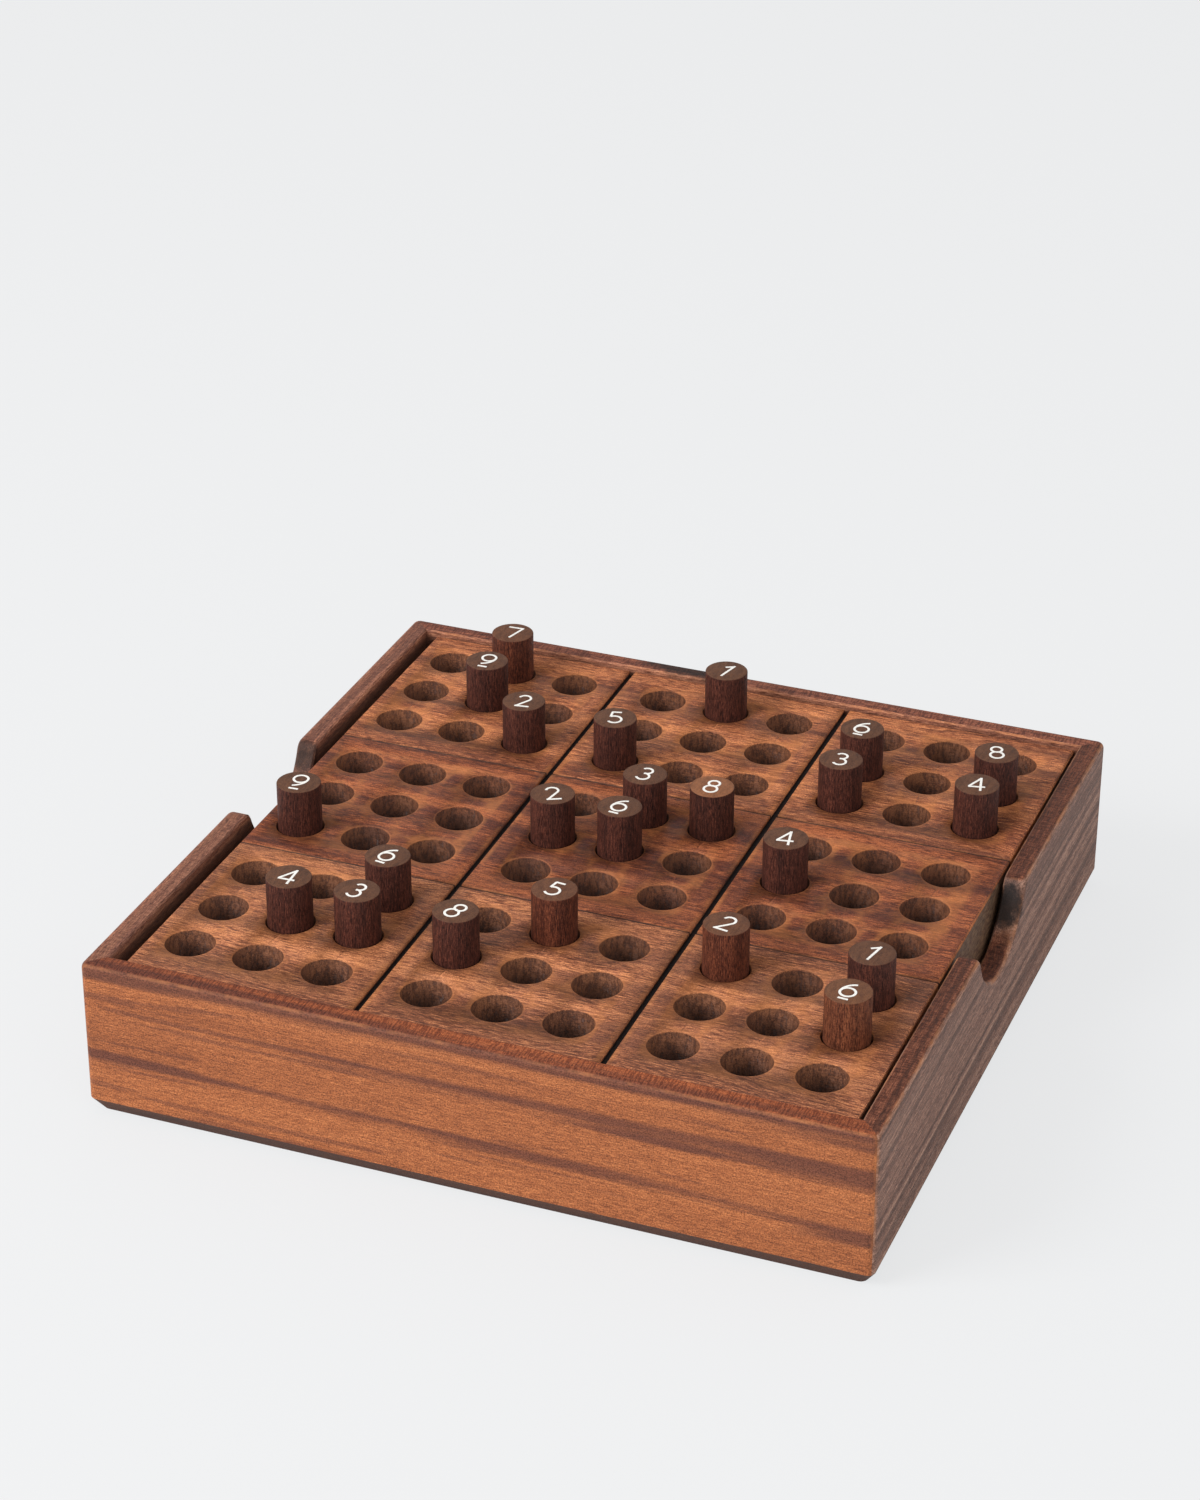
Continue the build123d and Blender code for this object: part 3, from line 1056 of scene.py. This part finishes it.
@dataclass
class Pegs:
    """The dowel pegs: those set out on the board and those that lie in the store.

    Sizes are in millimetres. The lift raises a 6 or a 9 to make room for the line under it.
    """

    numbers: NumberSet
    diameter: float = 10.0
    length: float = 19.94
    ease: float = 0.22
    sides: int = 72
    lift: float = 0.45
    merge: float = 0.001
    end_reach: float = 1.2
    roll_each: float = 1.9
    dowel: bpy.types.Object | None = None
    standing: dict[Tone, bpy.types.Material] = field(default_factory=dict)
    lying: dict[Tone, bpy.types.Material] = field(default_factory=dict)
    paint: bpy.types.Material | None = None

    def make_finishes(self) -> None:
        """Makes the tones of peg wood, for upright and for lying pegs."""
        for tone, (*shades, end, end_dark) in PEG_SHADES.items():
            name = f"peg_wood_{tone.value}"
            ends = {"end_color": srgb(*end), "end_dark": srgb(*end_dark)}
            wood = PegWood(name, Grain.UPRIGHT, palette(*shades), **ends)
            self.standing[tone] = wood.make()
            self.lying[tone] = replace(wood, name=f"lying_{name}", grain=Grain.ALONG_X).make()

    def turn_dowel(self) -> None:
        """Models one dowel, standing on the origin, its two ends eased."""
        deselect()
        bpy.ops.mesh.primitive_cylinder_add(
            vertices=self.sides,
            radius=self.diameter / 2 * MM,
            depth=self.length * MM,
            location=(0, 0, self.length / 2 * MM),
        )
        self.dowel = bpy.context.object
        settle(self.dowel)
        bpy.ops.object.mode_set(mode="EDIT")
        bpy.ops.mesh.select_all(action="DESELECT")
        bpy.ops.object.mode_set(mode="OBJECT")
        half = self.length / 2 * MM
        near = self.merge * MM
        for edge in self.dowel.data.edges:
            low, high = (self.dowel.data.vertices[k].co.z - half for k in edge.vertices)
            edge.select = abs(low - high) < near and abs(abs(low) - half) < near
        bpy.ops.object.mode_set(mode="EDIT")
        bpy.ops.mesh.bevel(offset=self.ease * MM, segments=3, profile=0.5, affect="EDGES")
        bpy.ops.object.mode_set(mode="OBJECT")
        bpy.ops.object.shade_smooth_by_angle(angle=SMOOTH_ANGLE)

    def set_out(self, nodes: list[str]) -> None:
        """Puts a dowel and its number in place of each peg on the board.

        Args:
            nodes: the names of the pegs' nodes, such as peg_r1c2_7.
        """
        for node in nodes:
            _, cell, digit = node.split("_")
            low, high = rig.box(node)
            middle = (low + high) / 2
            dowel = copy_of(self.dowel, f"dowel_{cell}")
            dowel.location = (middle.x, middle.y, low.z)
            settle(dowel)
            dress(dowel, self.standing[LIGHTER.get(cell, Tone.DEEP)])
            number = self.numbers.copy(int(digit), f"number_{cell}")
            up = self.lift * MM if digit in "69" else 0.0
            turn = Matrix.Rotation(math.radians(TURNS[cell]), 4, "Z")
            number.data.transform(turn @ Matrix.Translation((0, up, 0)))
            number.location = (middle.x, middle.y, low.z + self.length * MM)
            settle(number)
            dress(number, self.paint)
            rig.ride(dowel, f"peg_{cell}")
            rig.ride(number, f"peg_{cell}")
            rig.replaces(dowel, node)
            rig.slot(dowel, "peg_wood")
            log.info("%s with number %s", dowel.name, digit)

    def lay_down(self, nodes: list[str]) -> None:
        """Puts round dowels with numbers in place of the stored pegs.

        Args:
            nodes: the names of the stored groups' nodes, such as stored_ones.
        """
        tones = list(Tone)
        for node in nodes:
            digit = STORE_ORDER.index(node.split("_")[1]) + 1
            dowels, numbers = [], []
            for k, place in enumerate(self.lying_places(node)):
                dowel = copy_of(self.dowel, f"lying_{node}_{k}")
                dowel.data.transform(place @ Matrix.Translation((0, 0, -self.length / 2 * MM)))
                dress(dowel, self.lying[tones[(k + digit) % len(tones)]])
                number = self.numbers.copy(digit, f"lying_number_{node}_{k}")
                number.data.transform(place @ Matrix.Translation((0, 0, self.length / 2 * MM)))
                dress(number, self.paint)
                dowels.append(dowel)
                numbers.append(number)
            pegs = join(dowels, f"{node}_dowels")
            marks = join(numbers, f"{node}_numbers")
            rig.ride(pegs, "box")
            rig.ride(marks, "box")
            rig.replaces(pegs, node)
            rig.slot(pegs, "peg_wood")
            log.info("%s: %d pegs", node, len(dowels))

    def lying_places(self, node: str) -> list[Matrix]:
        """The place and turn of each peg of a stored group, read from its solids.

        Args:
            node: the group's node.

        Returns:
            One matrix a peg, which lays an upright dowel down there.
        """
        twin = copy_of(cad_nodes()[node], f"{node}_read")
        twin.parent = None
        pick(twin)
        open_mesh()
        bpy.ops.mesh.remove_doubles(threshold=self.merge * MM)
        bpy.ops.mesh.separate(type="LOOSE")
        bpy.ops.object.mode_set(mode="OBJECT")
        found = []
        parts = sorted(bpy.context.selected_objects, key=lambda part: part.name)
        for k, part in enumerate(parts):
            points = [v.co.copy() for v in part.data.vertices]
            middle = sum(points, Vector()) / len(points)
            far = max(points, key=lambda p: (p - middle).length)
            ends = [p for p in points if (p - far).length < self.diameter * self.end_reach * MM]
            tip = sum(ends, Vector()) / len(ends)
            way = (tip - middle).normalized() * (1 if k % 2 else -1)
            turn = Matrix.Rotation(math.atan2(way.y, way.x), 4, "Z") @ Matrix.Rotation(math.pi / 2, 4, "Y")
            found.append(Matrix.Translation(middle) @ turn @ Matrix.Rotation(k * self.roll_each, 4, "Z"))
        for part in parts:
            bpy.data.objects.remove(part)
        return found

    def build(self, nodes: list[str]) -> None:
        """Makes every peg and number.

        Args:
            nodes: the names of all nodes.
        """
        self.paint = Paint().make()
        self.make_finishes()
        self.turn_dowel()
        self.set_out(sorted(n for n in nodes if n.startswith("peg_")))
        self.lay_down(sorted(n for n in nodes if n.startswith("stored_")))
        bpy.data.objects.remove(self.dowel)
        self.numbers.clear()


@dataclass
class Board:
    """The lift-out board: each stave of the frame, with its two grooves moved to where they show.

    Sizes are in millimetres. The frame's grooves lie frame_groove_shift from the half way line.
    """

    frame_groove_shift: float = -1.3
    frame_groove_half: float = 1.0
    groove_depth: float = 1.5
    strip_half: float = 3.6
    touch: float = 0.05
    merge: float = 0.001

    def finishes(self) -> dict[str, Wood]:
        """The finish of each stave.

        Returns:
            The finishes by the stave's node.
        """
        return {
            "front_stave": StaveWood(
                "front_stave_wood", Grain.ALONG_X,
                palette((110, 66, 54), (124, 73, 51), (177, 107, 73), (222, 146, 98)),
                shift=(31.0, 5.0, 0.0), streaks=0.4, band_width=8.0, fibres=1.0,
            ),
            "middle_stave": StaveWood(
                "middle_stave_wood", Grain.ALONG_X,
                palette((84, 45, 39), (104, 54, 38), (146, 79, 52), (190, 110, 68)),
                shift=(-70.0, 61.0, 0.0), streaks=0.65, fibres=0.95,
            ),
            "back_stave": StaveWood(
                "back_stave_wood", Grain.ALONG_X,
                palette((94, 53, 44), (126, 69, 46), (184, 108, 71), (230, 148, 96)),
                shift=(110.0, -33.0, 0.0), streaks=0.55, band_width=8.0, fibres=0.95,
            ),
        }

    def saw_out(self, node: str) -> bpy.types.Object:
        """Copies a stave and moves the edges of its two grooves.

        The copy is bisected on both sides of each groove first, clear of the holes, so that only a
        plain strip of the top changes.

        Args:
            node: the stave's node.

        Returns:
            The new stave.
        """
        stave = bpy.data.objects.new(f"{node}_grooved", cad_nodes()[node].data.copy())
        bpy.context.scene.collection.objects.link(stave)
        pick(stave)
        open_mesh()
        bpy.ops.mesh.remove_doubles(threshold=self.merge * MM)
        lines = [GRID_X + side * BLOCK_PITCH for side in (-0.5, 0.5)]
        for line in lines:
            for reach in (-self.strip_half, self.strip_half):
                bpy.ops.mesh.select_all(action="SELECT")
                bpy.ops.mesh.bisect(plane_co=((line + reach) * MM, 0, 0), plane_no=(1, 0, 0))
        bpy.ops.object.mode_set(mode="OBJECT")
        floor = (BOARD_TOP - self.groove_depth - self.touch) * MM
        moved = 0
        for vertex in stave.data.vertices:
            for side, line in zip((-0.5, 0.5), lines):
                away = vertex.co.x / MM - (line + self.frame_groove_shift)
                if vertex.co.z > floor and abs(abs(away) - self.frame_groove_half) < self.touch:
                    middle = groove_middle(side, vertex.co.y / MM)
                    vertex.co.x = (middle + math.copysign(GROOVE_HALF, away)) * MM
                    moved += 1
                    break
        bpy.ops.object.shade_smooth_by_angle(angle=SMOOTH_ANGLE)
        log.info("%s: %d groove corners moved", node, moved)
        return stave

    def build(self) -> None:
        """Makes and dresses the three staves."""
        for node, wood in self.finishes().items():
            stave = self.saw_out(node)
            dress(stave, wood.make())
            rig.ride(stave, "board")
            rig.replaces(stave, node)
            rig.slot(stave, f"{node}_wood")


@dataclass
class Box:
    """The mitred box: four walls, the base and the ledges."""

    warm: Palette = palette((94, 54, 46), (140, 80, 48), (174, 103, 61), (204, 128, 78))
    red: Palette = palette((90, 56, 50), (122, 77, 62), (170, 111, 86), (208, 146, 112))
    # The right wall's wood, greyed as a painted reflection of the pale floor on that side
    grey_with_reflection: Palette = palette((82, 60, 54), (110, 80, 69), (148, 110, 94), (184, 144, 124))
    pale: Palette = palette((96, 66, 50), (128, 92, 66), (158, 118, 84), (182, 142, 104))

    def finishes(self) -> dict[str, Wood]:
        """The finish of each piece of the box.

        Returns:
            The finishes by the piece's node.
        """
        return {
            "front_wall": Wood(
                "front_wall_wood", Grain.ALONG_X, self.warm, shift=(12.0, 0.0, 40.0), streaks=0.8,
                band_width=9.0, band_length=260.0, drift=1.6, bands=0.5, fray=0.08, streak_from=0.56,
                fibres=0.4, pores=0.3, speckle=0.9, wear_and_highlight=0.3, top_tint=srgb(255, 232, 224),
            ),
            "back_wall": Wood(
                "back_wall_wood", Grain.ALONG_X, self.red, shift=(-60.0, 0.0, 11.0),
                band_width=8.0, band_length=200.0, top_tint=srgb(222, 200, 196),
                scorches=(Scorch((-14.0, 88.4, 37.0), (17.0, 6.0, 4.0), 0.88),),
            ),
            "left_wall": Wood(
                "left_wall_wood", Grain.ALONG_Y, self.red, shift=(5.0, 3.0, 23.0), streaks=0.45,
                band_width=6.0, band_length=180.0, hatch=0.35, wear_and_highlight=0.5, wear_and_highlight_color=srgb(78, 52, 46),
                scorches=(Scorch((-86.0, 17.5, 34.0), (4.5, 3.6, 6.0), 0.75),),
            ),
            # greyed palette: painted reflection of the pale floor
            "right_wall": Wood(
                "right_wall_wood", Grain.ALONG_Y, self.grey_with_reflection, shift=(44.0, -3.0, 7.0), streaks=0.55,
                band_width=2.6, band_length=240.0, drift=0.7, streak_from=0.52,
                top_tint=srgb(220, 178, 154),
                scorches=(Scorch((84.6, 14.6, 33.0), (5.6, 4.8, 8.0), 0.95),),
            ),
            "base_panel": Wood("base_wood", Grain.ALONG_X, self.pale, shift=(0.0, 90.0, 0.0), streaks=0.3),
        }

    def build(self) -> None:
        """Dresses the walls, the base and the ledges."""
        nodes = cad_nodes()
        for node, wood in self.finishes().items():
            material = wood.make()
            dress(nodes[node], material)
            if node == "base_panel":
                for ledge in ("left_ledge", "right_ledge"):
                    dress(nodes[ledge], material)
            log.info("%s dressed", node)


@dataclass(frozen=True)
class Lamp:
    """A soft square lamp that faces the object: its place and size in metres, its power in watts."""

    name: str
    place: tuple[float, float, float]
    size: float
    power: float
    aim_height: float = 0.02

    def hang(self) -> None:
        """Adds the lamp to the scene."""
        data = bpy.data.lights.new(self.name, "AREA")
        data.size = self.size
        data.energy = self.power
        lamp = bpy.data.objects.new(self.name, data)
        bpy.context.scene.collection.objects.link(lamp)
        lamp.location = self.place
        ahead = Vector((0, 0, self.aim_height)) - Vector(self.place)
        lamp.rotation_euler = ahead.to_track_quat("-Z", "Y").to_euler()


@dataclass
class Studio:
    """The pale floor, the soft light and the camera at the photograph's view.

    Angles are in degrees, the camera's distance and target in millimetres, and its nearest distance
    and the floor in metres.
    """

    azimuth: float = 21.134
    elevation: float = 28.312
    roll: float = 0.203
    distance: float = 866.5
    target: tuple[float, float, float] = (-21.05, 42.1, BOARD_TOP)
    lens: float = 88.95
    sensor_width: float = 36.0
    nearest: float = 0.01
    floor_size: float = 12.0
    floor_color: Color = srgb(232, 232, 233)
    floor_roughness: float = 0.9
    floor_specular: float = 0.1
    paper_color: Color = srgb(237, 238, 239)
    paper_share: float = 0.85
    sky_strength: float = 0.66
    lamps: tuple[Lamp, ...] = (
        Lamp("key", (-0.85, -0.9, 0.9), 0.8, 20.5),
        Lamp("fill", (0.9, -1.0, 0.6), 1.2, 4.5),
    )

    def place_camera(self) -> None:
        """Sets the camera where the photograph was taken from."""
        azimuth, elevation = math.radians(self.azimuth), math.radians(self.elevation)
        level = math.cos(elevation)
        back = Vector((math.sin(azimuth) * level, -math.cos(azimuth) * level, math.sin(elevation)))
        side = Vector((0, 0, 1)).cross(back).normalized()
        up = back.cross(side)
        turned = Matrix((side, up, back)).transposed().to_4x4()
        turned = turned @ Matrix.Rotation(math.radians(self.roll), 4, "Z")
        data = bpy.data.cameras.new("camera")
        data.lens = self.lens
        data.sensor_width = self.sensor_width
        data.sensor_fit = "AUTO"
        data.clip_start = self.nearest
        camera = bpy.data.objects.new("camera", data)
        bpy.context.scene.collection.objects.link(camera)
        camera.matrix_world = Matrix.Translation((Vector(self.target) + back * self.distance) * MM) @ turned
        bpy.context.scene.camera = camera

    def lay_floor(self) -> None:
        """Lays a plain floor, which the camera sees as pale paper."""
        deselect()
        bpy.ops.mesh.primitive_plane_add(size=self.floor_size, location=(0, 0, 0))
        floor = bpy.context.object
        floor.name = "floor"
        shader = Shader("floor_pale")
        shader.cover(self.floor_color, self.floor_roughness, self.floor_specular)
        paper = shader.add("ShaderNodeEmission", {"Color": self.paper_color}).outputs[0]
        seen = shader.add("ShaderNodeLightPath").outputs["Is Camera Ray"]
        inputs = {0: shader.times(seen, self.paper_share), 1: shader.surface.outputs["BSDF"], 2: paper}
        both = shader.add("ShaderNodeMixShader", inputs)
        shader.feed(shader.output.inputs["Surface"], both.outputs[0])
        dress(floor, shader.material)
        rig.stage(floor)

    def light_sky(self) -> None:
        """Lights the scene evenly from all sides."""
        world = bpy.data.worlds.new("sky")
        world.use_nodes = True
        sky = world.node_tree.nodes["Background"]
        sky.inputs["Color"].default_value = WHITE
        sky.inputs["Strength"].default_value = self.sky_strength
        bpy.context.scene.world = world
        bpy.context.scene.view_settings.view_transform = "Standard"

    def build(self) -> None:
        """Sets up camera, floor and light."""
        self.place_camera()
        self.lay_floor()
        for lamp in self.lamps:
            lamp.hang()
        self.light_sky()


def main() -> None:
    """Builds the object around the frame and writes its sizes."""
    logging.basicConfig(level=logging.INFO, format="%(name)s: %(message)s")
    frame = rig.load()
    deselect()
    cad_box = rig.bounds()
    Studio().build()
    Box().build()
    Board().build()
    Pegs(NumberSet()).build(list(frame["nodes"]))
    sizes = {"cad": [list(corner) for corner in cad_box], "visual": [list(corner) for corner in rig.bounds()]}
    with open(SIZE_FILE, "w", encoding="utf-8") as file:
        json.dump(sizes, file)


if __name__ == "__main__":
    main()
